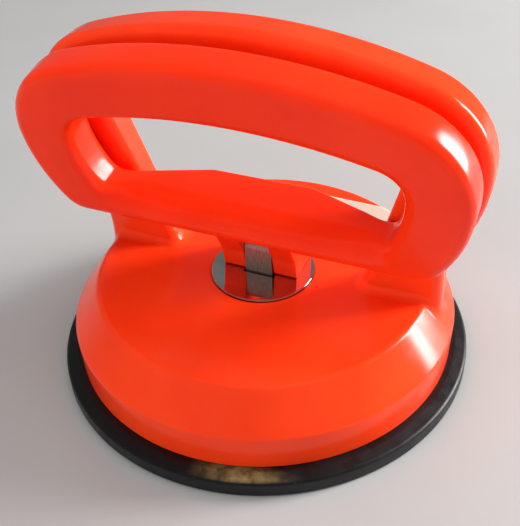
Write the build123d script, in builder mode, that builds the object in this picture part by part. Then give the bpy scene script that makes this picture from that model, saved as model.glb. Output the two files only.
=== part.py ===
from build123d import *
from math import asin, cos, degrees, radians, sin, tan
import os

# Hand lifter with one suction cup: a moulded body with a fixed handle, a cam lever and a rubber pad.
# The frame's origin is on the surface that the pad holds, at the pad's centre. +Z is up, away from that
# surface, and +X runs along both handles. The lever swings towards -Y. All sizes are in millimetres.
# The model stands with the lever closed, which is the position that holds the vacuum.

os.makedirs("parts", exist_ok=True)

# ---- rubber pad
PAD_R = 60.0
RIM_EDGE_H = 4.7          # height of the rim's outer edge
RIM_SEAT_Z = 5.5          # flat ring that the body stands on
RIM_SEAT_R = 56.0         # outer edge of that ring
RIM_INNER_R = 50.0        # inner edge of the ring, where the thin web starts
DOME_H = 2.5              # hollow under the pad with the lever closed
WEB_T = 3.6               # thickness of the web
BOSS_R = 16.0
BOSS_TOP_Z = 15.0
LIP_R = 11.0              # opening in the boss, over the steel disc
DISC_GAP = 0.3            # room round the steel disc in the boss
DISC_ROOM = 0.2           # room above it
RIM_EDGE_R = 0.7          # rounding of the rim's edges

# ---- body
BODY_WALL_R = 55.0        # outside of the wall at its foot
BODY_SHOULDER_R = 55.4    # outside of the wall at its top
BODY_SHOULDER_Z = 16.1
BODY_TOP_R = 47.3
BODY_TOP_Z = 26.4
SHELL_T = 3.0
GUIDE_R = 17.2            # bore of the tube that guides the pad's boss
GUIDE_T = 2.0
GUIDE_FOOT_Z = 12.0
RIB_COUNT = 8             # ribs under the top, from the tube to the wall
RIB_T = 2.0
RIB_FOOT_Z = 9.0
RIB_FOOT_R = 46.0         # where a rib's foot turns up towards the tube
BURY = 0.5                # how far the tube and the ribs go into the shell
SHELL_EDGE_R = 1.5
WALL_EDGE_R = 0.5
SHOULDER_DROP = 1.1       # the inside of the shoulder is lower than the outside
SHOULDER_LEAN = 25.0      # in degrees, for the inside of the top's edge

# ---- steel wear plate
PLATE_R = 14.9
PLATE_T = 1.0
PLATE_TOP_Z = 27.0
PLATE_SLOT_X = 9.4
PLATE_SLOT_Y = 7.2
PLATE_GAP = 0.2           # room round the plate in its recess
PLATE_EDGE_R = 0.25

# ---- both handles
ARCH_EDGE_R = 3.0

# ---- lever
LEVER_LEAN = 11.8         # lean of its front plane towards -Y, in degrees
LEVER_FRONT_Y = -14.4     # a point on that plane
LEVER_FRONT_Z = 42.9
LEVER_DEPTH = 11.6
LEVER_HALF_W = 60.2
LEVER_CROWN = 57.9        # height of the crown above that point, along the front plane
LEVER_BAR_T = 16.4        # height of the grip at its middle
BAR_FOOT = 2.3            # foot of the lower bar above that point
BAR_TOP = 10.4            # top of the lower bar above that point

# ---- cam feet
PIVOT_H = 8.0             # pin's height above the plate with the lever closed
SWING = 56.0              # full swing of the lever, in degrees
LIFT = 1.9                # how far the swing lets the pad's centre down
LUG_IN = 4.2              # inner and outer faces of the two feet, from the middle
LUG_OUT = 11.2
FOOT_GAP = 0.1            # clearance between a foot and the plate
PIVOT_Z = PLATE_TOP_Z + PIVOT_H

# ---- pin, strap and anchor
PIN_R = 2.0
PIN_FIT = 0.05            # radial clearance in the lever's feet
STRAP_T = 1.0
STRAP_W = 8.0
DISC_R = 13.3
DISC_Z = 8.0
DISC_T = 2.0
STRAP_FOOT_Y = 9.5        # how far each foot of the strap reaches out
RIVET_Y = 6.4
RIVET_R = 1.5

# ---- fixed handle
HANDLE_REF_Z = 27.9       # height of the two points below
HANDLE_FRONT_Y = 1.3      # a point on its front plane
HANDLE_FRONT_LEAN = 9.0   # lean of that plane towards -Y
HANDLE_BACK_Y = 9.9       # a point on its back plane
HANDLE_BACK_LEAN = 6.2
HANDLE_HALF_W = 61.2
HANDLE_CROWN_Z = 103.1
HANDLE_BAR_T = 15.6
LEG_OUT_X = 47.0          # outer face of each leg at its foot

# ---- paper label
LABEL_L = 36.0
LABEL_W = 10.3
LABEL_T = 0.15
LABEL_X = 13.0            # its middle
LABEL_Y = 36.0
LABEL_TURN = -2.3         # in degrees


def leaning_plane(y, z, lean):
    """A plane along X that leans towards -Y, seen from the front, with its origin at (0, y, z)."""
    lean = radians(lean)
    return Plane(origin=(0, y, z), x_dir=(1, 0, 0), z_dir=(0, -cos(lean), -sin(lean)))


def crown_sweep(crown_r, half_w, corner_r):
    """Angle of a crown arc that runs into a corner arc whose outermost point is at half_w."""
    return degrees(asin((half_w - corner_r) / (crown_r - corner_r)))


# ================================================================ rubber pad
with BuildPart() as rubber_pad:
    with BuildSketch(Plane.XZ) as pad_section:
        with BuildLine():
            Polyline(
                (0, DOME_H),
                (BOSS_R, DOME_H),
                (RIM_INNER_R, 0),
                (PAD_R, 0),
                (PAD_R, RIM_EDGE_H),
                (RIM_SEAT_R, RIM_SEAT_Z),
                (RIM_INNER_R, RIM_SEAT_Z),
                (RIM_INNER_R - 2, WEB_T),
                (BOSS_R, DOME_H + WEB_T),
                (BOSS_R, BOSS_TOP_Z),
                (LIP_R, BOSS_TOP_Z),
                (LIP_R, DISC_Z + DISC_T + DISC_ROOM),
                (DISC_R + DISC_GAP, DISC_Z + DISC_T + DISC_ROOM),
                (DISC_R + DISC_GAP, DISC_Z),
                (0, DISC_Z),
                close=True,
            )
        make_face()
    revolve(axis=Axis.Z)
    rim_edges = rubber_pad.edges().filter_by(GeomType.CIRCLE).filter_by(lambda e: e.radius > PAD_R - 0.01)
    fillet(rim_edges, RIM_EDGE_R)
rubber_pad.part.label = "rubber_pad"
export_step(rubber_pad.part, "parts/rubber_pad.step")


# ================================================================ fixed handle, moulded with the body
HANDLE_CROWN_R = 139.0
HANDLE_CORNER_R = 24.3
HANDLE_SIDE_R = 50.0
HANDLE_SIDE_SWEEP = 27.0
LEG_CURVE_R = 20.0
INNER_CORNER_R = 8.0
INNER_SWEEP = 15.0        # sweep of the crown's underside to each side
LEG_SLOPE = 15.9          # slope of each leg's inner face, in degrees
LEG_BURY_Z = 24.6         # foot of the legs, inside the body's top wall

handle_front = leaning_plane(HANDLE_FRONT_Y, HANDLE_REF_Z, HANDLE_FRONT_LEAN)
handle_back = leaning_plane(HANDLE_BACK_Y, HANDLE_REF_Z, HANDLE_BACK_LEAN)

with BuildPart() as fixed_handle:
    with BuildSketch(Plane.XZ.offset(25)):
        with BuildLine():
            sweep_out = crown_sweep(HANDLE_CROWN_R, HANDLE_HALF_W, HANDLE_CORNER_R)
            crown = JernArc((0, HANDLE_CROWN_Z), (1, 0), HANDLE_CROWN_R, -sweep_out)
            corner = JernArc(crown @ 1, crown % 1, HANDLE_CORNER_R, sweep_out - 90)
            side = JernArc(corner @ 1, corner % 1, HANDLE_SIDE_R, -HANDLE_SIDE_SWEEP)
            curve_x = LEG_CURVE_R * (1 - cos(radians(HANDLE_SIDE_SWEEP)))
            run = ((side @ 1).X - LEG_OUT_X - curve_x) / sin(radians(HANDLE_SIDE_SWEEP))
            slope = Line(side @ 1, (side @ 1) + (side % 1) * run)
            knee = JernArc(slope @ 1, slope % 1, LEG_CURVE_R, HANDLE_SIDE_SWEEP)
            shin = Line(knee @ 1, (LEG_OUT_X, LEG_BURY_Z))
            under = JernArc((0, HANDLE_CROWN_Z - HANDLE_BAR_T), (1, 0), HANDLE_CROWN_R, -INNER_SWEEP)
            inner = JernArc(under @ 1, under % 1, INNER_CORNER_R, INNER_SWEEP - 90 - LEG_SLOPE)
            leg_run = ((inner @ 1).Y - LEG_BURY_Z) / cos(radians(LEG_SLOPE))
            leg_in = Line(inner @ 1, (inner @ 1) + (inner % 1) * leg_run)
            Line(shin @ 1, leg_in @ 1)
            mirror(about=Plane.YZ)
        make_face()
    extrude(amount=-60)
    split(bisect_by=handle_front, keep=Keep.BOTTOM)
    split(bisect_by=handle_back, keep=Keep.TOP)
    flats = fixed_handle.faces().sort_by(SortBy.AREA)[-2:]
    fillet(flats.edges().filter_by(lambda e: e.center().Z > BODY_TOP_Z), ARCH_EDGE_R)


# ================================================================ body
with BuildPart() as body:
    wall_in = BODY_WALL_R - SHELL_T
    shoulder_in_z = BODY_SHOULDER_Z - SHOULDER_DROP
    shoulder_in_r = BODY_SHOULDER_R - SHELL_T
    ceiling = BODY_TOP_Z - SHELL_T
    ceiling_r = BODY_TOP_R - SHELL_T * tan(radians(SHOULDER_LEAN))
    with BuildSketch(Plane.XZ):
        with BuildLine():
            Polyline(
                (0, BODY_TOP_Z),
                (BODY_TOP_R, BODY_TOP_Z),
                (BODY_SHOULDER_R, BODY_SHOULDER_Z),
                (BODY_WALL_R, RIM_SEAT_Z),
                (wall_in, RIM_SEAT_Z),
                (shoulder_in_r, shoulder_in_z),
                (ceiling_r, ceiling),
                (0, ceiling),
                close=True,
            )
        make_face()
    revolve(axis=Axis.Z)
    rings = body.edges().filter_by(GeomType.CIRCLE)
    fillet(rings.filter_by(lambda e: abs(e.radius - BODY_TOP_R) < 0.1), SHELL_EDGE_R)
    rings = body.edges().filter_by(GeomType.CIRCLE)
    fillet(rings.filter_by(lambda e: abs(e.radius - BODY_SHOULDER_R) < 0.1), SHELL_EDGE_R)
    rings = body.edges().filter_by(GeomType.CIRCLE).group_by(Axis.Z)[0]
    fillet(rings.filter_by(lambda e: abs(e.radius - BODY_WALL_R) < 0.1), WALL_EDGE_R)
    with BuildSketch(Plane.XY.offset(ceiling + BURY)):
        Circle(GUIDE_R + GUIDE_T)
        Circle(GUIDE_R, mode=Mode.SUBTRACT)
    extrude(amount=-(ceiling + BURY - GUIDE_FOOT_Z))
    with BuildSketch(Plane.XZ):
        with BuildLine():
            Polyline(
                (GUIDE_R + BURY, ceiling + BURY),
                (ceiling_r - BURY, ceiling + BURY),
                (shoulder_in_r + BURY, shoulder_in_z),
                (wall_in + BURY, RIB_FOOT_Z),
                (RIB_FOOT_R, RIB_FOOT_Z),
                (GUIDE_R + BURY, GUIDE_FOOT_Z),
                close=True,
            )
        make_face()
    rib = extrude(amount=RIB_T / 2, both=True, mode=Mode.PRIVATE)
    with PolarLocations(0, RIB_COUNT, start_angle=180 / RIB_COUNT):
        add(rib)
    add(fixed_handle.part)
    with BuildSketch(Plane.XY.offset(PLATE_TOP_Z - PLATE_T)):
        Circle(PLATE_R + PLATE_GAP)
    extrude(amount=5, mode=Mode.SUBTRACT)
    with BuildSketch(Plane.XY.offset(ceiling - 1)):
        Rectangle(PLATE_SLOT_X + 1, PLATE_SLOT_Y + 1)
    extrude(amount=SHELL_T + 2, mode=Mode.SUBTRACT)
body.part.label = "body"
export_step(body.part, "parts/body.step")


# ================================================================ wear plate
with BuildPart() as wear_plate:
    with BuildSketch(Plane.XY.offset(PLATE_TOP_Z)):
        Circle(PLATE_R)
        Rectangle(PLATE_SLOT_X, PLATE_SLOT_Y, mode=Mode.SUBTRACT)
    extrude(amount=-PLATE_T)
    top_rim = wear_plate.edges().filter_by(GeomType.CIRCLE).sort_by(Axis.Z)[-1:]
    fillet(top_rim, PLATE_EDGE_R)
wear_plate.part.label = "wear_plate"
export_step(wear_plate.part, "parts/wear_plate.step")


# ================================================================ paper label
with BuildPart() as label:
    with BuildSketch(Plane.XY.offset(BODY_TOP_Z)):
        with Locations(Location((LABEL_X, LABEL_Y), LABEL_TURN)):
            Rectangle(LABEL_L, LABEL_W)
        Circle(BODY_TOP_R - 1, mode=Mode.INTERSECT)
    extrude(amount=LABEL_T)
label.part.label = "label"
export_step(label.part, "parts/label.step")


# ================================================================ lever
LEVER_CROWN_R = 147.0
LEVER_CORNER_R = 23.7
LEVER_SIDE_R = 40.6
LEVER_FOOT_R = 8.0
EYE_CROWN_R = 149.0       # the opening for the fingers
EYE_HALF_W = 43.9
EYE_CORNER_R = 8.5
EYE_SIDE_R = 30.7
EYE_FOOT_R = 3.0
HUMP_HALF_W = 14.5        # the thick middle of the lower bar
HUMP_RUNOUT = 38.0        # where it has run out inside the plain bar
HUMP_FRONT_Y = -11.0      # its front, inside the plain bar
HUMP_BACK_Y = 3.0
HUMP_TOP_Z = 54.6
HUMP_END_BACK_Y = -6.5
HUMP_END_TOP_Z = 51.0
HUMP_FOOT_Z = 47.5
HUMP_EDGE_R = 1.5
LUG_BACK_Y = 10.0
LUG_HEEL_Z = 30.0

lever_front = leaning_plane(LEVER_FRONT_Y, LEVER_FRONT_Z, LEVER_LEAN)
drop_rate = LIFT / radians(SWING)      # millimetres of drop for each radian of swing


def foot_point(turn):
    """A point of the foot's working curve, which stays on the plate at every turn of the lever."""
    reach = PIVOT_H - FOOT_GAP - drop_rate * turn
    y = drop_rate * cos(turn) - reach * sin(turn)
    z = PIVOT_Z - reach * cos(turn) - drop_rate * sin(turn)
    return (y, z)


with BuildPart() as lever:
    # the hand loop
    with BuildSketch(lever_front):
        with BuildLine():
            sweep_out = crown_sweep(LEVER_CROWN_R, LEVER_HALF_W, LEVER_CORNER_R)
            crown = JernArc((0, LEVER_CROWN), (1, 0), LEVER_CROWN_R, -sweep_out)
            corner = JernArc(crown @ 1, crown % 1, LEVER_CORNER_R, sweep_out - 90)
            side_drop = (corner @ 1).Y - BAR_FOOT - LEVER_FOOT_R
            side_sweep = degrees(asin(side_drop / (LEVER_SIDE_R - LEVER_FOOT_R)))
            side = JernArc(corner @ 1, corner % 1, LEVER_SIDE_R, -side_sweep)
            foot = JernArc(side @ 1, side % 1, LEVER_FOOT_R, side_sweep - 90)
            Line(foot @ 1, (0, BAR_FOOT))
            mirror(about=Plane.YZ)
        make_face()
        with BuildLine():
            sweep_out = crown_sweep(EYE_CROWN_R, EYE_HALF_W, EYE_CORNER_R)
            crown = JernArc((0, LEVER_CROWN - LEVER_BAR_T), (1, 0), EYE_CROWN_R, -sweep_out)
            corner = JernArc(crown @ 1, crown % 1, EYE_CORNER_R, sweep_out - 90)
            side_drop = (corner @ 1).Y - BAR_TOP - EYE_FOOT_R
            side_sweep = degrees(asin(side_drop / (EYE_SIDE_R - EYE_FOOT_R)))
            side = JernArc(corner @ 1, corner % 1, EYE_SIDE_R, -side_sweep)
            foot = JernArc(side @ 1, side % 1, EYE_FOOT_R, side_sweep - 90)
            Line(foot @ 1, (0, BAR_TOP))
            mirror(about=Plane.YZ)
        make_face(mode=Mode.SUBTRACT)
    extrude(amount=-LEVER_DEPTH)
    flats = lever.faces().sort_by(SortBy.AREA)[-2:]
    fillet(flats.edges(), ARCH_EDGE_R)

    # the hump behind the middle of the lower bar
    for x, back_y, top_z in (
        (-HUMP_RUNOUT, HUMP_END_BACK_Y, HUMP_END_TOP_Z),
        (-HUMP_HALF_W, HUMP_BACK_Y, HUMP_TOP_Z),
        (HUMP_HALF_W, HUMP_BACK_Y, HUMP_TOP_Z),
        (HUMP_RUNOUT, HUMP_END_BACK_Y, HUMP_END_TOP_Z),
    ):
        with BuildSketch(Plane.YZ.offset(x)) as section:
            with BuildLine():
                Polyline(
                    (HUMP_FRONT_Y, HUMP_FOOT_Z),
                    (back_y, HUMP_FOOT_Z),
                    (back_y, top_z),
                    (HUMP_FRONT_Y, top_z),
                    close=True,
                )
            make_face()
            fillet(section.vertices().group_by(Axis.X)[-1], HUMP_EDGE_R)
    loft(ruled=True)

    # the two cam feet and the web that joins them
    with BuildSketch(Plane.YZ.offset(LUG_IN)) as foot_side:
        with BuildLine():
            heel = foot_point(0)
            toe = foot_point(radians(SWING))
            climb = (HUMP_FOOT_Z - toe[1]) / sin(radians(SWING))
            brow = (toe[0] - climb * cos(radians(SWING)), HUMP_FOOT_Z)
            Spline([foot_point(radians(SWING) * step / 6) for step in range(7)])
            Polyline(toe, brow, (-12, 50.5), (1.5, 50.5), (2.2, HUMP_FOOT_Z), (LUG_BACK_Y, LUG_HEEL_Z),
                     (LUG_BACK_Y, heel[1]), heel)
        make_face()
    lug = extrude(amount=LUG_OUT - LUG_IN)
    mirror(lug, about=Plane.YZ)
    with BuildSketch(Plane.YZ.offset(-LUG_IN)):
        with BuildLine():
            Polyline((-8, 42), (4.5, 42), (1.5, 50), (-10, 50), close=True)
        make_face()
    extrude(amount=2 * LUG_IN)
    with BuildSketch(Plane.YZ.offset(-LUG_OUT - 1)):
        with Locations((0, PIVOT_Z)):
            Circle(PIN_R + PIN_FIT)
    extrude(amount=2 * LUG_OUT + 2, mode=Mode.SUBTRACT)

    # the rib on the back of the grip
    RIB_HALF_W = 29.0
    RIB_H = 1.2
    rib_plane = lever_front.offset(-LEVER_DEPTH)
    with BuildSketch(rib_plane):
        with BuildLine():
            top = JernArc((0, LEVER_CROWN - 3.5), (1, 0), LEVER_CROWN_R, -11)
            low = JernArc((0, LEVER_CROWN - LEVER_BAR_T + 3.5), (1, 0), LEVER_CROWN_R, -11)
            Line(top @ 1, low @ 1)
            mirror(about=Plane.YZ)
        make_face()
    extrude(amount=-RIB_H)
lever.part.label = "lever"
export_step(lever.part, "parts/lever.step")


# ================================================================ pivot pin
with BuildPart() as pivot_pin:
    PIN_HALF_L = LUG_OUT - 0.2
    with BuildSketch(Plane.YZ.offset(-PIN_HALF_L)):
        with Locations((0, PIVOT_Z)):
            Circle(PIN_R)
    extrude(amount=2 * PIN_HALF_L)
    chamfer(pivot_pin.edges().filter_by(GeomType.CIRCLE), 0.3)
pivot_pin.part.label = "pivot_pin"
export_step(pivot_pin.part, "parts/pivot_pin.step")


# ================================================================ pull strap, folded over the pin
strap_mid_y = PIN_R + 0.02 + STRAP_T / 2
strap_foot_z = DISC_Z + DISC_T + STRAP_T / 2
STRAP_BEND_R = 1.2

with BuildPart() as pull_strap:
    with BuildLine(Plane.YZ) as strap_path:
        front = FilletPolyline(
            (-STRAP_FOOT_Y, strap_foot_z), (-strap_mid_y, strap_foot_z), (-strap_mid_y, PIVOT_Z),
            radius=STRAP_BEND_R,
        )
        over = JernArc(front @ 1, front % 1, strap_mid_y, -180)
        FilletPolyline(
            over @ 1, (strap_mid_y, strap_foot_z), (STRAP_FOOT_Y, strap_foot_z),
            radius=STRAP_BEND_R,
        )
    with BuildSketch(Plane(origin=strap_path.line @ 0, x_dir=(1, 0, 0), z_dir=strap_path.line % 0)):
        Rectangle(STRAP_W, STRAP_T)
    sweep()
    with BuildSketch(Plane.XY.offset(strap_foot_z - 1)):
        with Locations((0, -RIVET_Y), (0, RIVET_Y)):
            Circle(RIVET_R + 0.02)
    extrude(amount=2, mode=Mode.SUBTRACT)
pull_strap.part.label = "pull_strap"
export_step(pull_strap.part, "parts/pull_strap.step")


# ================================================================ anchor disc and its rivets
with BuildPart() as anchor_disc:
    with BuildSketch(Plane.XY.offset(DISC_Z)):
        Circle(DISC_R)
        with Locations((0, -RIVET_Y), (0, RIVET_Y)):
            Circle(RIVET_R + 0.02, mode=Mode.SUBTRACT)
    extrude(amount=DISC_T)
anchor_disc.part.label = "anchor_disc"
export_step(anchor_disc.part, "parts/anchor_disc.step")

RIVET_HEAD_R = 2.6
RIVET_HEAD_H = 1.1
with BuildPart() as strap_rivets:
    head_z = DISC_Z + DISC_T + STRAP_T
    with BuildSketch(Plane.XY.offset(DISC_Z)):
        with Locations((0, -RIVET_Y), (0, RIVET_Y)):
            Circle(RIVET_R)
    extrude(amount=head_z - DISC_Z)
    with BuildSketch(Plane.XY.offset(head_z)):
        with Locations((0, -RIVET_Y), (0, RIVET_Y)):
            Circle(RIVET_HEAD_R)
    extrude(amount=RIVET_HEAD_H)
    fillet(strap_rivets.edges().group_by(Axis.Z)[-1], 0.9)
strap_rivets.part.label = "strap_rivets"
export_step(strap_rivets.part, "parts/strap_rivets.step")
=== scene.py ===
# %% [markdown]
# # Suction lifter
#
# A hand lifter for flat, smooth things such as glass or tiles. A moulded body with a fixed handle stands
# on a rubber pad. A second handle, the lever, swings down, and its cam feet pull the pad's middle up.
# This lesson makes the moulded parts again as smooth quad meshes, with the blends of a real moulding,
# and finishes every part. Sizes are in millimetres until a mesh is made.

import math

import bmesh
import bpy
import numpy as np
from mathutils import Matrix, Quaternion, Vector


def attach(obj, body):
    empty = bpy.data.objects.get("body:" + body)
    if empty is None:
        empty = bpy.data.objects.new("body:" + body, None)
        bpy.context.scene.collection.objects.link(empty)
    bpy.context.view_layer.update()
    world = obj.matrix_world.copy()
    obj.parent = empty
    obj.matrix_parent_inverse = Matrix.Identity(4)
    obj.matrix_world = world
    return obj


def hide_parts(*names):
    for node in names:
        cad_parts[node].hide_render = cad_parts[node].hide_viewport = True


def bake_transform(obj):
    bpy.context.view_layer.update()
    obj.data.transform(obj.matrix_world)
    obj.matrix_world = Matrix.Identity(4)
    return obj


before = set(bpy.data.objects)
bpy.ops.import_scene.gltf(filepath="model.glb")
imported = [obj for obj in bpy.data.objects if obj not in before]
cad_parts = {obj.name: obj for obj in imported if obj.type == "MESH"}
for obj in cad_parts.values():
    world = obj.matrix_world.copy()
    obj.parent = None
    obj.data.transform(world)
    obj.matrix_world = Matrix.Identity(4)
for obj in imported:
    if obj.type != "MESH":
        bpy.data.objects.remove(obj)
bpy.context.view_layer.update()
MM = 0.001
print("CAD parts:", sorted(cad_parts))

# %% [markdown]
# ## Camera
# The lifter is seen from above and from its right front, as it would be on a table in front of a person.
# A camera with a small tilt looks more like a hand-held one than a level camera does. The lens is a short
# tele lens, so that the near handle isn't blown up.

# %% Camera
AZIMUTH = 23.93      # degrees round the lifter, from its front
ELEVATION = 38.0
TILT = -2.62
DISTANCE = 0.2518      # metres
AIM_Z = 28.8
LENS = 59.93
SHIFT = (-0.0051, -0.0017)

azimuth, elevation = math.radians(AZIMUTH), math.radians(ELEVATION)
away = Vector((
    math.sin(azimuth) * math.cos(elevation),
    -math.cos(azimuth) * math.cos(elevation),
    math.sin(elevation),
))
camera = bpy.data.objects.new("camera", bpy.data.cameras.new("camera"))
camera.location = Vector((0, 0, AIM_Z * MM)) + away * DISTANCE
camera.rotation_mode = "QUATERNION"
camera.rotation_quaternion = away.to_track_quat("Z", "Y") @ Quaternion((0, 0, 1), math.radians(TILT))
camera.data.lens = LENS
camera.data.shift_x, camera.data.shift_y = SHIFT
camera.data.clip_start = 10 * MM
bpy.context.scene.collection.objects.link(camera)
bpy.context.scene.camera = camera
print("camera at", [round(x, 4) for x in camera.location])

# %% [markdown]
# ## Colours and shader nodes
# Colours are written as sRGB hex values, as they are read off a colour card. Blender's shaders work in
# linear light, so one function turns the one into the other. A second function adds one shader node with
# its settings and its links, and every material below is made with it. The Mix node is used for colours
# only: its amount is at place 0, its two colours are at places 6 and 7, and its result is at place 2.

# %% Colours and nodes
def linear(hex_colour):
    """An sRGB hex value as linear red, green, blue and alpha."""
    channels = [int(hex_colour[i:i + 2], 16) / 255 for i in (1, 3, 5)]
    return tuple(c / 12.92 if c <= 0.04045 else ((c + 0.055) / 1.055) ** 2.4 for c in channels) + (1.0,)


def add_node(material, kind, inputs=None, output=0, **settings):
    """Adds one shader node and gives one of its outputs.

    An input is a value, or another node's output to link. Inputs and outputs go by name or by place.
    """
    made = material.node_tree.nodes.new("ShaderNode" + kind)
    for name, value in settings.items():
        setattr(made, name, value)
    for name, value in (inputs or {}).items():
        if isinstance(value, bpy.types.NodeSocket):
            material.node_tree.links.new(value, made.inputs[name])
        else:
            made.inputs[name].default_value = value
    return made.outputs[output] if made.outputs else None


def new_material(name):
    """A material with no nodes but one, which gives each point's place on the piece, in metres."""
    material = bpy.data.materials.new(name)
    material.use_nodes = True
    material.node_tree.nodes.clear()
    return material, add_node(material, "TexCoord", output="Object")


def finish_material(material, shader):
    add_node(material, "OutputMaterial", {"Surface": shader})
    print("material", material.name, "has", len(material.node_tree.nodes), "nodes")
    return material


# %% [markdown]
# Two patterns come back in nearly every finish. Patches are soft clouds of dirt, wear or colour. A relief
# is a fine grain that tips the surface, so that it breaks the highlights. Both are sized in millimetres.

# %% Patches and relief
def patches(material, where, size_mm, low=0.0, high=1.0, detail=2.0, roughness=0.5, edges=(0.35, 0.65)):
    """Clouds about size_mm across, from low to high. Edges are the noise values where those start."""
    lumps = add_node(
        material, "TexNoise",
        {"Vector": where, "Scale": 1 / (size_mm * MM), "Detail": detail, "Roughness": roughness},
    )
    return add_node(
        material, "MapRange",
        {"Value": lumps, "From Min": edges[0], "From Max": edges[1], "To Min": low, "To Max": high},
    )


def relief(material, where, size_mm, depth_mm, strength, detail, under=None):
    """A surface normal tipped by lumps size_mm across and depth_mm deep, on top of another relief."""
    lumps = add_node(material, "TexNoise", {"Vector": where, "Scale": 1 / (size_mm * MM), "Detail": detail})
    inputs = {"Height": lumps, "Strength": strength, "Distance": depth_mm * MM}
    if under is not None:
        inputs["Normal"] = under
    return add_node(material, "Bump", inputs)


# %% [markdown]
# ## Moulded plastic
# The body and the lever are ABS, injected into polished steel moulds. The eye sees a clear gloss over one
# full colour. The gloss isn't perfect: the skin has a faint orange peel about 2 mm across from cooling, and
# hands have dulled it in soft patches. The colour drifts a little, where the pigment flowed. A little light
# goes into the plastic and comes out again, redder. The gloss of such plastic is weaker than its IOR of 1.5
# alone would give, so its specular level is low.

# %% Injection-moulded ABS
def injection_moulded_abs(name, full_colour, deep_colour):
    material, where = new_material(name)
    flow = patches(material, where, 22)
    colour = add_node(
        material, "Mix", {0: flow, 6: linear(full_colour), 7: linear(deep_colour)}, 2, data_type="RGBA"
    )
    peel = relief(material, where, 2.2, depth_mm=0.02, strength=0.14, detail=1)
    shader = add_node(material, "BsdfPrincipled", {
        "Base Color": colour,
        "Roughness": patches(material, where, 12, 0.13, 0.22, detail=5, roughness=0.6),
        "IOR": 1.5,
        "Specular IOR Level": 0.24,
        "Normal": relief(material, where, 0.3, depth_mm=0.004, strength=0.06, detail=2, under=peel),
        "Subsurface Weight": 0.25,
        "Subsurface Radius": (1.0, 0.12, 0.04),
        "Subsurface Scale": 1.5 * MM,
    })
    return finish_material(material, shader)


body_abs = injection_moulded_abs("injection_moulded_abs_body", "#f94319", "#f33c14")
lever_abs = injection_moulded_abs("injection_moulded_abs_lever", "#ff3610", "#f9300d")

# %% [markdown]
# ## Meshes from grids of points
# Every moulded part here is a skin over a grid of points: rows of sections that lie next to each other. A
# turned shape is the same profile at many angles. A hand loop is a section that travels round an arched
# outline. Quads in rows bend light evenly, so their highlights run smoothly along a rounded edge.

# %% Skins
def dressed(name, mesh, material, level_flats=True):
    """Cleans a mesh, turns its faces outwards, smooths its shading and puts it in the scene."""
    work = bmesh.new()
    work.from_mesh(mesh)
    bmesh.ops.remove_doubles(work, verts=work.verts, dist=0.001 * MM)
    bmesh.ops.recalc_face_normals(work, faces=work.faces)
    work.to_mesh(mesh)
    work.free()
    mesh.shade_smooth()
    mesh.materials.append(material)
    piece = bpy.data.objects.new(name, mesh)
    bpy.context.scene.collection.objects.link(piece)
    if level_flats:
        level = piece.modifiers.new("level_flats", "WEIGHTED_NORMAL")
        level.keep_sharp = True
    print(name, "has", len(mesh.polygons), "faces")
    return piece


def skin(name, grid, material, join_rows=True, level_flats=True):
    """A smooth quad mesh over grid[row][column], in millimetres. Each row's two ends are joined."""
    grid = np.asarray(grid, float)
    rows, columns = grid.shape[:2]
    faces = []
    for r in range(rows if join_rows else rows - 1):
        here, beyond = r * columns, (r + 1) % rows * columns
        for c in range(columns):
            d = (c + 1) % columns
            faces.append((here + c, here + d, beyond + d, beyond + c))
    mesh = bpy.data.meshes.new(name)
    mesh.from_pydata((grid.reshape(-1, 3) * MM).tolist(), [], faces)
    return dressed(name, mesh, material, level_flats)


# %% [markdown]
# Both handles are drawn as chains of arcs that run into each other without a corner, as their mould was.
# A chain keeps its outward normals too, since the rounding of an edge is measured along them.

# %% Arcs
def arc_chain(start, steps):
    """Arcs and straights that run smoothly into each other, turning clockwise, from a level start.

    A step is (radius, degrees, points), or (length, None, points) for a straight. It gives the points and
    their outward normals, one pair of arrays for each step.
    """
    spot, heading = np.array(start, float), 0.0
    chain = []
    for size, turn, count in steps:
        along = np.linspace(0, 1, count)[:, None]
        if turn is None:
            ahead = np.array([math.cos(heading), math.sin(heading)])
            points = spot + ahead * size * along
            normals = np.repeat([[-ahead[1], ahead[0]]], count, axis=0)
        else:
            angles = heading - np.radians(turn) * along
            centre = spot + size * np.array([math.sin(heading), -math.cos(heading)])
            normals = np.hstack([-np.sin(angles), np.cos(angles)])
            points = centre + size * normals
            heading = float(angles[-1, 0])
        spot = points[-1]
        chain.append((points, normals))
    return chain


def joined(chain):
    """One array of points and one of normals, with the doubled joints left out."""
    points = np.vstack([chain[0][0]] + [step[0][1:] for step in chain[1:]])
    normals = np.vstack([chain[0][1]] + [step[1][1:] for step in chain[1:]])
    return points, normals


def crown_turn(crown_radius, half_width, corner_radius):
    """How far a crown arc turns before the corner arc whose outermost point is at half_width."""
    return math.degrees(math.asin((half_width - corner_radius) / (crown_radius - corner_radius)))


# %% [markdown]
# ## A hoop's section
# The lever and the fixed handle have the same kind of section: a front, a back, an outer wall, an inner
# wall and four rounded edges. Each pair of matching points on the outer and the inner outline gives one
# section. This function walks round it once, so both handles share one layout.

# %% Section of a hoop
EDGE_R = 3.0
ROUND_STEPS = np.radians(np.linspace(0, 90, 7))
FACE_STEPS = np.linspace(0, 1, 11)[1:-1]
TURNS, FACES = len(ROUND_STEPS), len(FACE_STEPS)


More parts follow.
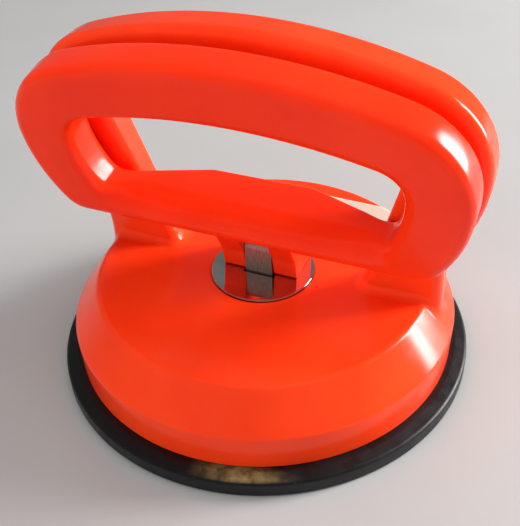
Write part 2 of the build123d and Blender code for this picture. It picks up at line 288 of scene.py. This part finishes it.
def hoop_section(outer, outer_n, inner, inner_n):
    """The columns of a hoop, as (points, which face, how far behind that face)."""
    rounds = [(EDGE_R * (1 - math.sin(a)), EDGE_R * (1 - math.cos(a))) for a in ROUND_STEPS]
    outer_in, inner_in = outer - outer_n * EDGE_R, inner + inner_n * EDGE_R
    columns = [(outer - outer_n * closing, "front", opening) for closing, opening in rounds]
    columns += [(outer - outer_n * opening, "back", closing) for closing, opening in rounds]
    columns += [(outer_in * (1 - t) + inner_in * t, "back", 0.0) for t in FACE_STEPS]
    columns += [(inner + inner_n * closing, "back", opening) for closing, opening in rounds]
    columns += [(inner + inner_n * opening, "front", closing) for closing, opening in rounds]
    columns += [(inner_in * (1 - t) + outer_in * t, "front", 0.0) for t in FACE_STEPS]
    return columns


# %% [markdown]
# ## Lever loop
# The lever's hand loop is one closed ring of plastic in a leaning plane. Its outline and its eye are both
# chains of arcs. Their sizes are measured across and up that plane, from a point at the foot of its front.

# %% Lever outlines
LEAN = math.radians(11.8)      # the loop leans forward by this angle
FRONT_Y, FRONT_Z = -14.4, 42.9      # a point of the loop's front plane
LOOP_DEPTH = 11.6
BAR_FOOT, BAR_TOP = 2.3, 10.4
EYE_FOOT = 12.3      # the bar rises towards its ends
ARC_POINTS = (36, 20, 24, 9, 34)      # points on the crown, corner, side, foot corner and bar
RING = {"crown": 57.9, "crown_r": 147.0, "half_w": 60.2, "corner_r": 23.7, "side_r": 40.6, "foot_r": 8.0}
EYE = {"crown": 41.5, "crown_r": 149.0, "half_w": 43.9, "corner_r": 8.5, "side_r": 30.7, "foot_r": 3.0}


def loop_outline(foot, crown, crown_r, half_w, corner_r, side_r, foot_r):
    """Half an outline of the loop, from the crown's middle to the bar's middle."""
    lead = crown_turn(crown_r, half_w, corner_r)
    steps = [(crown_r, lead, ARC_POINTS[0]), (corner_r, 90 - lead, ARC_POINTS[1])]
    drop = arc_chain((0, crown), steps)[-1][0][-1][1] - foot - foot_r
    side = math.degrees(math.asin(drop / (side_r - foot_r)))
    steps += [(side_r, side, ARC_POINTS[2]), (foot_r, 90 - side, ARC_POINTS[3])]
    reach = arc_chain((0, crown), steps)[-1][0][-1][0]
    return joined(arc_chain((0, crown), steps + [(reach, None, ARC_POINTS[4])]))


outer, outer_n = loop_outline(BAR_FOOT, **RING)
eye, eye_n = loop_outline(EYE_FOOT, **EYE)
print("loop is", round(2 * outer[:, 0].max(), 1), "mm wide, its eye", round(2 * eye[:, 0].max(), 1), "mm")

# %% [markdown]
# The lower bar is fuller than the rest. There the plain section changes into a swollen one. Its front runs
# over the top in one sweep, which is a Bezier curve, and its back reaches out into a hump over the cam
# feet. The hump is level in the middle and runs out to both sides. A smooth ramp mixes the two sections,
# because a sudden change would leave a crease. A low rib stiffens the back of the grip.

# %% The swollen bar and the rib
BAR_ENDS = (30.0, 42.5)      # where the bar's section changes into the plain one
HUMP_HALF_W, HUMP_RUNOUT = 14.5, 38.5
HUMP_DEPTH = 19.6
HUMP_SINK, HUMP_SAG = 1.1, 1.0      # the hump's top and foot are lower than the bar's
TOE_R, HEEL_R, BROW_R = 3.0, 2.0, 1.3      # rounding at the front foot, the back foot and the back top
CREST, FRONT_PULL = 1.5, 9.2      # heights that shape the Bezier curve over the top
RIB_H, RIB_HALF_W, RIB_FOOT = 1.2, 29.0, 30.0


def ramp(value, start, end):
    """0 before start, 1 after end, smooth between them."""
    t = np.clip((value - start) / (end - start), 0, 1)
    return t * t * (3 - 2 * t)


def rib_height(flat, t):
    """Height of the rib at points of the back face, t of the way from its outer to its inner edge."""
    along = (1 - ramp(np.abs(flat[:, 0]), RIB_HALF_W - 2, RIB_HALF_W + 1)) * (flat[:, 1] > RIB_FOOT)
    return RIB_H * along * float(ramp(t, 0.05, 0.25) * (1 - ramp(t, 0.75, 0.95)))


def bar_section(across, column):
    """(depth, height) of the swollen bar at a place across, for one column of the section."""
    level = 0 * across
    hump = 1 - np.clip((np.abs(across) - HUMP_HALF_W) / (HUMP_RUNOUT - HUMP_HALF_W), 0, 1)
    back = LOOP_DEPTH + (HUMP_DEPTH - LOOP_DEPTH) * hump
    top, foot = BAR_TOP - HUMP_SINK * hump, BAR_FOOT - HUMP_SAG * hump
    if column < TURNS:
        a = ROUND_STEPS[column]
        return level + TOE_R * (1 - math.cos(a)), level + BAR_FOOT + TOE_R * (1 - math.sin(a))
    column -= TURNS
    if column < TURNS:
        a = ROUND_STEPS[column]
        return back - HEEL_R * (1 - math.sin(a)), foot + HEEL_R * (1 - math.cos(a))
    column -= TURNS
    if column < FACES:
        t = FACE_STEPS[column]
        return back, (foot + HEEL_R) * (1 - t) + (top - BROW_R) * t
    column -= FACES
    if column < TURNS:
        a = ROUND_STEPS[column]
        return back - BROW_R * (1 - math.cos(a)), top - BROW_R * (1 - math.sin(a))
    t = (column - TURNS + 1) / (TURNS + FACES + 1)
    weights = ((1 - t) ** 3, 3 * t * (1 - t) ** 2, 3 * t * t * (1 - t), t ** 3)
    depths = (back - BROW_R, back / 2, level, level)
    heights = (top, top + CREST, level + FRONT_PULL, level + BAR_FOOT + TOE_R)
    return sum(w * d for w, d in zip(weights, depths)), sum(w * h for w, h in zip(weights, heights))


# %% Lever loop
EYE_MIDDLE = 20.0      # the bar is below this height


def lever_place(across, depth, height):
    """A point of the leaning plane, given across, into and up that plane, as x, y, z."""
    y = FRONT_Y + depth * math.cos(LEAN) - height * math.sin(LEAN)
    z = FRONT_Z + depth * math.sin(LEAN) + height * math.cos(LEAN)
    return np.stack([across, y, z], axis=-1)


half_columns = []
for column, (flat, side, inset) in enumerate(hoop_section(outer, outer_n, eye, eye_n)):
    across, height = flat[:, 0], flat[:, 1]
    depth = 0 * across + (inset if side == "front" else LOOP_DEPTH - inset)
    if 2 * TURNS <= column < 2 * TURNS + FACES:
        depth = depth + rib_height(flat, FACE_STEPS[column - 2 * TURNS])
    in_bar = (1 - ramp(np.abs(across), *BAR_ENDS)) * (height < EYE_MIDDLE)
    bar_depth, bar_height = bar_section(across, column)
    depth = depth * (1 - in_bar) + bar_depth * in_bar
    height = height * (1 - in_bar) + bar_height * in_bar
    half_columns.append(lever_place(across, depth, height))
half = np.stack(half_columns, axis=1)
other_half = half[-2:0:-1] * np.array([-1, 1, 1])
lever_loop = skin("lever_loop", np.concatenate([half, other_half]), lever_abs, level_flats=False)

# %% [markdown]
# ## Cam feet
# Two flat feet come down from the bar, one on each side of the strap. Each has a flat sole that stands on
# the steel plate and a corner at its toe that the lever rolls over. They are flat plates with a small
# rounding, so they are made from an outline in the side view, given a thickness and a bevel.

# %% Feet and web
LUG_IN, LUG_OUT = 4.2, 11.2
SOLE_Z = 27.1
FOOT_BEVEL, WEB_BEVEL = 0.35, 0.3
WEB_BURY = 0.5
FOOT_OUTLINE = [      # y and z, from the heel up the back, over the top and down the front to the toe
    (10.0, SOLE_Z), (10.0, 31.5), (4.5, 48.5), (-11.0, 49.0), (-8.5, 44.0), (-3.2, 33.5), (-2.1, 27.6),
    (-1.7, SOLE_Z),
]
WEB_OUTLINE = [(4.0, 43.0), (2.5, 49.0), (-10.5, 49.0), (-9.5, 44.0)]


def side_plate(name, outline, x_from, x_to, bevel_mm, material):
    """A plate with an outline in y and z, from x_from to x_to, with rounded edges."""
    mesh = bpy.data.meshes.new(name)
    work = bmesh.new()
    face = work.faces.new([work.verts.new((x_from * MM, y * MM, z * MM)) for y, z in outline])
    grown = bmesh.ops.extrude_face_region(work, geom=[face])
    for part in grown["geom"]:
        if isinstance(part, bmesh.types.BMVert):
            part.co.x = x_to * MM
    edges = list(work.edges)
    bmesh.ops.bevel(work, geom=edges, offset=bevel_mm * MM, segments=3, affect="EDGES", profile=0.5)
    work.to_mesh(mesh)
    work.free()
    return dressed(name, mesh, material)


foot_left = side_plate("cam_foot_left", FOOT_OUTLINE, -LUG_OUT, -LUG_IN, FOOT_BEVEL, lever_abs)
foot_right = side_plate("cam_foot_right", FOOT_OUTLINE, LUG_IN, LUG_OUT, FOOT_BEVEL, lever_abs)
web = side_plate("cam_web", WEB_OUTLINE, -LUG_IN - WEB_BURY, LUG_IN + WEB_BURY, WEB_BEVEL, lever_abs)

for piece in (lever_loop, foot_left, foot_right, web):
    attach(piece, "lever")
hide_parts("lever")

# %% [markdown]
# ## Body shell
# The body is a turned shape: a flat top, a steep shoulder and a short wall, with every corner rounded. Its
# profile is written once, corner by corner, and each corner's rounding is worked out from its radius. The
# profile is then turned through a full circle.

# %% Rounded profiles and turning
def rounded_profile(corners, points_each=6):
    """A closed profile of (r, z) with rounded corners. A corner is (r, z, radius)."""
    spots = [np.array(corner[:2], float) for corner in corners]
    profile = []
    for i, (spot, corner) in enumerate(zip(spots, corners)):
        radius = corner[2]
        if radius == 0:
            profile.append(spot)
            continue
        before, after = spots[i - 1] - spot, spots[(i + 1) % len(spots)] - spot
        before, after = before / np.linalg.norm(before), after / np.linalg.norm(after)
        half_angle = math.acos(float(np.clip(before @ after, -1, 1))) / 2
        cut = radius / math.tan(half_angle)
        middle = (before + after) / np.linalg.norm(before + after)
        centre = spot + middle * radius / math.sin(half_angle)
        first, last = spot + before * cut - centre, spot + after * cut - centre
        span = math.acos(float(np.clip(first @ last / radius ** 2, -1, 1)))
        for t in np.linspace(0, 1, points_each):
            arm = math.sin((1 - t) * span) * first + math.sin(t * span) * last
            profile.append(centre + arm / math.sin(span))
    return np.array(profile)


def turned(name, profile, material, segments, start=0.0, sweep=360.0):
    """A profile turned round the z axis."""
    whole = sweep == 360.0
    angles = np.radians(start + np.linspace(0, sweep, segments, endpoint=not whole))
    grid = np.stack([
        np.outer(np.cos(angles), profile[:, 0]),
        np.outer(np.sin(angles), profile[:, 0]),
        np.outer(np.ones(segments), profile[:, 1]),
    ], axis=-1)
    return skin(name, grid, material, join_rows=whole)


# %% [markdown]
# The steel plate lies in a shallow recess in the middle. Outside it the top is flat and then rises a
# little to its edge, since a thick rim cools later than the middle and pulls it down. The inside follows
# the outside at a wall's thickness. It is open at the foot, where the rubber closes it.

# %% Shell
TOP_Z = 26.4
FLAT_R = 30.0      # the top is flat inside this
TOP_R, EDGE_LIFT = 47.4, 0.5      # its edge, and how far that rises
SHOULDER_R, SHOULDER_Z = 55.4, 16.1
WALL_R, SEAT_Z = 55.0, 5.5
RECESS_R, RECESS_Z = 15.1, 26.0      # the steel plate lies in it
HOLE_R, CEILING_Z = 6.0, 23.4
SHELL_CORNERS = [      # r, z and rounding: over the outside, round the foot and back along the inside
    (HOLE_R, RECESS_Z, 0.0), (RECESS_R, RECESS_Z, 0.0), (RECESS_R, TOP_Z, 0.2), (FLAT_R, TOP_Z, 3.0),
    (TOP_R, TOP_Z + EDGE_LIFT, 2.2), (SHOULDER_R, SHOULDER_Z, 1.6), (WALL_R, SEAT_Z, 0.4),
    (WALL_R - 2.6, SEAT_Z, 0.3), (SHOULDER_R - 3.0, SHOULDER_Z - 1.1, 0.8),
    (TOP_R - 1.5, CEILING_Z, 0.8), (HOLE_R, CEILING_Z, 0.0),
]
body_shell = turned("body_shell", rounded_profile(SHELL_CORNERS), body_abs, segments=256)


def shell_height(x, y):
    """Height of the shell's surface, which falls away outside its top edge."""
    r = np.hypot(x, y)
    slope = (TOP_Z + EDGE_LIFT - SHOULDER_Z) / (SHOULDER_R - TOP_R)
    rise = EDGE_LIFT * np.clip((r - FLAT_R) / (TOP_R - FLAT_R), 0, 1)
    return TOP_Z + rise - slope * np.maximum(r - TOP_R, 0)


# %% [markdown]
# ## Fixed handle
# The fixed handle is an arch with two legs that stand on the shell. Its front and back lean by different
# angles, so its thickness changes with height. The outside is a crown, a corner, a side and a straight run
# that bends upright at the knee. The inside is a crown, a tight corner and a straight leg.

# %% Arch outlines
ARCH_FRONT = (1.3, math.tan(math.radians(9.0)))      # y at the reference height, and how far it leans
ARCH_BACK = (9.9, math.tan(math.radians(6.2)))
REFERENCE_Z = 27.9
ARCH_CROWN_Z, ARCH_CROWN_R = 103.1, 139.0
ARCH_HALF_W, ARCH_CORNER_R = 61.2, 24.3
ARCH_SIDE_R, ARCH_SIDE_TURN = 50.0, 27.0
KNEE_R, LEG_OUT_X = 20.0, 47.0
UNDER_CROWN_Z, UNDER_TURN, UNDER_CORNER_R = 87.5, 15.0, 8.0
LEG_SLOPE, LEG_RUN = 15.9, 70.0      # slope of the leg's inner side, and a length that passes its foot

lead = crown_turn(ARCH_CROWN_R, ARCH_HALF_W, ARCH_CORNER_R)
steps = [(ARCH_CROWN_R, lead, 30), (ARCH_CORNER_R, 90 - lead, 16), (ARCH_SIDE_R, ARCH_SIDE_TURN, 14)]
side_x = arc_chain((0, ARCH_CROWN_Z), steps)[-1][0][-1][0]
side_turn = math.radians(ARCH_SIDE_TURN)
slope_run = (side_x - LEG_OUT_X - KNEE_R * (1 - math.cos(side_turn))) / math.sin(side_turn)
steps += [(slope_run, None, 8), (KNEE_R, -ARCH_SIDE_TURN, 8)]
outside = arc_chain((0, ARCH_CROWN_Z), steps)
under = arc_chain((0, UNDER_CROWN_Z), [
    (ARCH_CROWN_R, UNDER_TURN, 30), (UNDER_CORNER_R, 90 - UNDER_TURN + LEG_SLOPE, 16), (LEG_RUN, None, 40),
])
print("the knees end at z", round(outside[-1][0][-1][1], 1))

# %% [markdown]
# Sections of the crown are cuts across it. Below the corner they become level cuts through the leg, so
# that the last ones lie along the shell. Each leg's points are therefore read off again at shared heights.
# The lowest heights are close together and follow a quarter circle: they will make the leg's flare.

# %% Level cuts through the legs
FLARE_R = 2.8
FLARE_MARGIN = 0.4
flare_rises = FLARE_R * (1 - np.sin(np.radians(np.linspace(0, 90, 9))))
fall = np.linspace(0, 1, 30)[1:]


def along_leg(points, normals, levels):
    """Points and normals of a falling line at given heights."""
    rising = points[::-1, 1]
    x, normal_x, normal_z = [
        np.interp(levels, rising, values[::-1]) for values in (points[:, 0], normals[:, 0], normals[:, 1])
    ]
    turned_out = np.stack([normal_x, normal_z], axis=1)
    turned_out /= np.linalg.norm(turned_out, axis=1)[:, None]
    return np.stack([x, levels], axis=1), turned_out


def arch_side(chain):
    """One side of the arch, from the crown's middle to the leg's foot."""
    crown, crown_n = joined(chain[:2])
    flare_top = TOP_Z + FLARE_R + FLARE_MARGIN
    levels = np.concatenate([crown[-1, 1] + (flare_top - crown[-1, 1]) * fall, TOP_Z + flare_rises])
    leg, leg_n = along_leg(*joined(chain[1:]), levels)
    return np.vstack([crown, leg]), np.vstack([crown_n, leg_n])


def face_y(face, z):
    """Where a leaning face of the arch is at a height."""
    return face[0] - face[1] * (z - REFERENCE_Z)


arch_columns = []
for flat, side, inset in hoop_section(*arch_side(outside), *arch_side(under)):
    z = flat[:, 1]
    y = face_y(ARCH_FRONT, z) + inset if side == "front" else face_y(ARCH_BACK, z) - inset
    arch_columns.append(np.stack([flat[:, 0], y, z], axis=-1))
arch_half = np.stack(arch_columns, axis=1)
print("half the arch has", arch_half.shape[0], "sections of", arch_half.shape[1], "points")

# %% [markdown]
# At its foot each leg flares out, as the fillet of a moulding does, and meets the shell's surface, which
# bends down over the edge just outside the legs. Each of the last sections is pushed outwards by a quarter
# circle's reach at its rise above the shell. One more section is sunk into the shell, so no gap shows.

# %% Flared feet
FLARE_SINK, FOOT_SINK = 0.03, 1.2

for row, rise in zip(range(-len(flare_rises), 0), flare_rises):
    ring = arch_half[row]
    tangent = np.roll(ring, -1, axis=0)[:, :2] - np.roll(ring, 1, axis=0)[:, :2]
    outwards = np.stack([tangent[:, 1], -tangent[:, 0]], axis=1)
    outwards /= np.linalg.norm(outwards, axis=1)[:, None]
    from_middle = ring[:, :2] - ring[:, :2].mean(axis=0)
    outwards *= np.sign((from_middle * outwards).sum(axis=1))[:, None]
    reach = FLARE_R - math.sqrt(max(FLARE_R ** 2 - (FLARE_R - rise) ** 2, 0))
    ring[:, :2] += outwards * reach
    ring[:, 2] = shell_height(ring[:, 0], ring[:, 1]) + rise - FLARE_SINK
sunk = arch_half[-1] - np.array([0, 0, FOOT_SINK])
half = np.concatenate([arch_half, sunk[None]])
other_half = half[:0:-1] * np.array([-1, 1, 1])
handle_arch = skin("handle_arch", np.concatenate([other_half, half]), body_abs, join_rows=False)

for piece in (body_shell, handle_arch):
    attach(piece, "base")
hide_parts("body")

# %% [markdown]
# ## Rubber
# The pad is compression-moulded synthetic rubber. New rubber is black with a satin skin. On a used lifter
# it holds dust, which greys it in clouds, and a few light specks. At the front of the rim the black has
# been rubbed off to a tan patch. The skin's grain is about 0.25 mm, and it spreads the light into a wide,
# weak highlight.

# %% Moulded rubber
WORN_MIDDLE_X = 17.0
WORN_X = (2.0, 15.0)      # from the patch's middle, where it is full and where it is gone
WORN_Y = (-54.0, -50.0)
WORN_Z = (5.0, 4.6)      # only on the rim's upper side


def moulded_rubber(name):
    material, where = new_material(name)
    dust = patches(material, where, 5, detail=6, roughness=0.7)
    specks = patches(material, where, 0.7, edges=(0.7, 0.76))
    worn = patches(material, where, 2.5, 0.25, 1.0, detail=6, roughness=0.7)
    place = add_node(material, "SeparateXYZ", {0: where}).node.outputs
    off = add_node(material, "Math", {0: place["X"], 1: -WORN_MIDDLE_X * MM}, operation="ADD")
    off = add_node(material, "Math", {0: off}, operation="ABSOLUTE")
    for value, (full, gone) in ((off, WORN_X), (place["Y"], WORN_Y), (place["Z"], WORN_Z)):
        limits = {"From Min": full * MM, "From Max": gone * MM, "To Min": 1.0, "To Max": 0.0}
        inside = add_node(material, "MapRange", {"Value": value, **limits})
        worn = add_node(material, "Math", {0: worn, 1: inside}, operation="MULTIPLY")
    colour = linear("#070708")
    for amount, over in ((dust, "#0e0e10"), (specks, "#3a3936"), (worn, "#8a7448")):
        colour = add_node(material, "Mix", {0: amount, 6: colour, 7: linear(over)}, 2, data_type="RGBA")
    shader = add_node(material, "BsdfPrincipled", {
        "Base Color": colour,
        "Roughness": patches(material, where, 5, 0.36, 0.55, detail=6, roughness=0.7),
        "IOR": 1.52,
        "Specular IOR Level": 0.35,
        "Normal": relief(material, where, 0.25, depth_mm=0.02, strength=0.25, detail=3),
    })
    return finish_material(material, shader)


pad_rubber = moulded_rubber("moulded_rubber")

# %% [markdown]
# ## Rubber pad
# The pad is a thick ring that the body stands on, with a thin domed web inside it and a boss in its
# middle. When the lever swings, the boss drops and the web flattens. So the ring stays with the base and
# the boss goes with the strap. Both are turned from a profile with rounded corners.

# %% Rim and boss
PAD_R, RIM_R = 60.0, 49.0      # outside of the rim, and where the web joins it
BOSS_R, BOSS_TOP = 16.0, 15.0
LIP_R, LIP_Z = 11.0, 10.25      # opening over the steel disc
DISC_ROOM_R, DISC_Z = 13.6, 8.0
DOME_Z = 2.5
AXIS_R = 0.01      # a turned profile may not quite touch the axis
RIM_CORNERS = [
    (RIM_R, 0.0, 0.3), (PAD_R, 0.0, 0.8), (PAD_R, 4.7, 1.1), (56.6, 5.4, 0.5), (49.6, 5.4, 0.5),
    (RIM_R, 4.4, 0.3),
]
BOSS_CORNERS = [
    (AXIS_R, DOME_Z, 0.0), (BOSS_R, DOME_Z, 0.0), (BOSS_R, BOSS_TOP, 0.6), (LIP_R, BOSS_TOP, 0.6),
    (LIP_R, LIP_Z, 0.0), (DISC_ROOM_R, LIP_Z, 0.0), (DISC_ROOM_R, DISC_Z, 0.0), (AXIS_R, DISC_Z, 0.0),
]
pad_rim = turned("pad_rim", rounded_profile(RIM_CORNERS), pad_rubber, segments=256)
pad_boss = turned("pad_boss", rounded_profile(BOSS_CORNERS), pad_rubber, segments=96)
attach(pad_rim, "base")
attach(pad_boss, "link")
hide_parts("rubber_pad")

# %% [markdown]
# The web bends between the ring and the boss. It is cut into sectors, each turned from the same profile.
# Neighbours agree along the cut, so no gap opens.

# %% Web
WEB_T = 3.6
WEB_END_R = 50.0      # where the underside would meet the ground
SECTORS = 8

web_radii = np.linspace(BOSS_R, RIM_R, 24)
underside = DOME_Z * (WEB_END_R - web_radii) / (WEB_END_R - BOSS_R)
web_profile = np.concatenate([
    np.stack([web_radii, underside], axis=1),
    np.stack([web_radii, underside + WEB_T], axis=1)[::-1],
])
for k in range(SECTORS):
    start = k * 360 / SECTORS
    sector = turned(f"pad_web_{k}", web_profile, pad_rubber, 17, start=start, sweep=360 / SECTORS)
    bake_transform(sector)

# %% [markdown]
# ## Steel parts
# The wear plate is stamped from stainless sheet and polished, so it is a soft mirror with very fine
# scratches one way. The strap is bent from plain rolled strip, with the streaks of rolling along its
# length, and it is duller and paler. The pin, the disc and the rivets are nearly all hidden and are the
# same plain steel. The CAD parts already have the right shape here, so they only get a finish.

# %% Steel finishes
def steel(name, bright, dull, where_scale, grain_mm, cloud_mm, gloss, depth_mm, strength, detail):
    """Steel with one grain. Cloud_mm is the size of its smears, or None where the grain itself smears."""
    material, where = new_material(name)
    grain_at = add_node(material, "Mapping", {"Vector": where, "Scale": where_scale})
    cloud_at = grain_at if cloud_mm is None else where
    size = grain_mm if cloud_mm is None else cloud_mm
    smears = patches(material, cloud_at, size, detail=detail)
    tint = add_node(
        material, "Mix", {0: smears, 6: linear(bright), 7: linear(dull)}, 2, data_type="RGBA"
    )
    shader = add_node(material, "BsdfPrincipled", {
        "Base Color": tint,
        "Metallic": 1.0,
        "Roughness": patches(material, cloud_at, size, *gloss, detail=detail),
        "Normal": relief(material, grain_at, grain_mm, depth_mm=depth_mm, strength=strength, detail=detail),
    })
    return finish_material(material, shader)


def coat_node(node, material):
    """Gives a CAD part its finish."""
    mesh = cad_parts[node].data
    mesh.materials.clear()
    mesh.materials.append(material)


plate_steel = steel(
    "polished_stainless_steel", "#c9c8be", "#b5b4a8", where_scale=(0.08, 1, 1), grain_mm=0.25,
    cloud_mm=6, gloss=(0.05, 0.12), depth_mm=0.004, strength=0.12, detail=3,
)
strip_steel = steel(
    "rolled_steel", "#dcdad4", "#bdbbb5", where_scale=(1, 0.1, 0.1), grain_mm=0.3,
    cloud_mm=None, gloss=(0.4, 0.55), depth_mm=0.01, strength=0.2, detail=4,
)
coat_node("wear_plate", plate_steel)
for node in ("pull_strap", "anchor_disc", "strap_rivets", "pivot_pin"):
    coat_node(node, strip_steel)

# %% [markdown]
# ## Paper label
# A blank paper label is stuck on the shell behind the lever. It is a thin sheet that follows the surface
# under it, so its far end bends down over the shell's edge. Coated paper is a warm white with a faint
# cloudiness, and it is nearly matt.

# %% Coated paper
def coated_paper(name):
    material, where = new_material(name)
    fibres = patches(material, where, 0.6, detail=5)
    colour = add_node(
        material, "Mix", {0: fibres, 6: linear("#cfc2b0"), 7: linear("#c4b6a2")}, 2, data_type="RGBA"
    )
    shader = add_node(material, "BsdfPrincipled", {
        "Base Color": colour,
        "Roughness": 0.55,
        "IOR": 1.5,
        "Normal": relief(material, where, 0.6, depth_mm=0.01, strength=0.2, detail=5),
    })
    return finish_material(material, shader)


# %% Label
LABEL_X, LABEL_Y, LABEL_TURN = 13.0, 36.0, math.radians(-2.3)
LABEL_LONG, LABEL_WIDE, LABEL_THICK = 36.0, 10.3, 0.12
GLUE = 0.01

s, t = np.meshgrid(np.linspace(-0.5, 0.5, 61), np.linspace(-0.5, 0.5, 19), indexing="ij")
x = LABEL_X + s * LABEL_LONG * math.cos(LABEL_TURN) - t * LABEL_WIDE * math.sin(LABEL_TURN)
y = LABEL_Y + s * LABEL_LONG * math.sin(LABEL_TURN) + t * LABEL_WIDE * math.cos(LABEL_TURN)
lower = np.stack([x, y, shell_height(x, y) + GLUE], axis=-1)
upper = lower + np.array([0, 0, LABEL_THICK])
label_grid = np.concatenate([lower, upper[:, ::-1]], axis=1)
label = skin("label_sheet", label_grid, coated_paper("coated_paper"), join_rows=False)
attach(label, "base")
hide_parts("label")

# %% [markdown]
# ## Floor
# The lifter stands on a plain floor, painted in one pale grey. It is a hair below the pad, so that the two
# don't share a surface.

# %% Floor
FLOOR_HALF = 3.0      # metres
FLOOR_DROP = 0.05
floor_corners = [(x * FLOOR_HALF, y * FLOOR_HALF, 0) for x, y in ((-1, -1), (1, -1), (1, 1), (-1, 1))]
floor_mesh = bpy.data.meshes.new("floor")
floor_mesh.from_pydata(floor_corners, [], [(0, 1, 2, 3)])
floor = bpy.data.objects.new("floor", floor_mesh)
floor.location.z = -FLOOR_DROP * MM
bpy.context.scene.collection.objects.link(floor)


def matt_paint(name):
    material, where = new_material(name)
    clouds = patches(material, where, 60)
    colour = add_node(
        material, "Mix", {0: clouds, 6: linear("#a9a8a6"), 7: linear("#acaba9")}, 2, data_type="RGBA"
    )
    return finish_material(
        material, add_node(material, "BsdfPrincipled", {"Base Color": colour, "Roughness": 0.8})
    )


floor_mesh.materials.append(matt_paint("matt_pale_paint"))

# %% [markdown]
# ## Light
# A window with two tall panes stands low on the right. It draws the crisp highlights on the ends of both
# handles and on the shell's shoulder. A wide light overhead and a low one in front fill the rest. They
# light the colour but don't show as reflections, since a big reflection would bleach the glossy red.

# %% Lights
LIGHT_AIM_Z = 40.0


def softbox(name, direction, distance, size, power, in_reflections=True):
    """A rectangular light, in a direction from the lifter, that points back at it. Sizes are in metres."""
    lamp = bpy.data.lights.new(name, "AREA")
    lamp.shape = "RECTANGLE"
    lamp.size, lamp.size_y = size
    lamp.energy = power
    made = bpy.data.objects.new(name, lamp)
    out = Vector(direction).normalized()
    made.location = Vector((0, 0, LIGHT_AIM_Z * MM)) + out * distance
    made.rotation_mode = "QUATERNION"
    made.rotation_quaternion = out.to_track_quat("Z", "Y")
    made.visible_glossy = in_reflections
    bpy.context.scene.collection.objects.link(made)
    print(name, "at", [round(x, 2) for x in made.location])


for side in (-1, 1):
    direction = (0.785 - 0.047 * side, 0.53 + 0.07 * side, 0.28)
    softbox(f"window_pane_{side}", direction, 0.9, (0.13, 0.54), 8.5)
softbox("overhead_light", (0.15, 0.0, 1.0), 1.0, (1.2, 1.2), 8.6, in_reflections=False)
softbox("front_fill", (-0.35, -1.0, 0.3), 1.3, (1.2, 0.8), 8.5, in_reflections=False)

# %% [markdown]
# The room's own light is weak and even. The standard view keeps the full red of the plastic, where a
# filmic one would turn it towards pink.

# %% Room light and view
world = bpy.data.worlds.new("studio")
world.use_nodes = True
world.node_tree.nodes["Background"].inputs["Color"].default_value = linear("#dcdde0")
world.node_tree.nodes["Background"].inputs["Strength"].default_value = 0.3
bpy.context.scene.world = world
bpy.context.scene.view_settings.view_transform = "Standard"
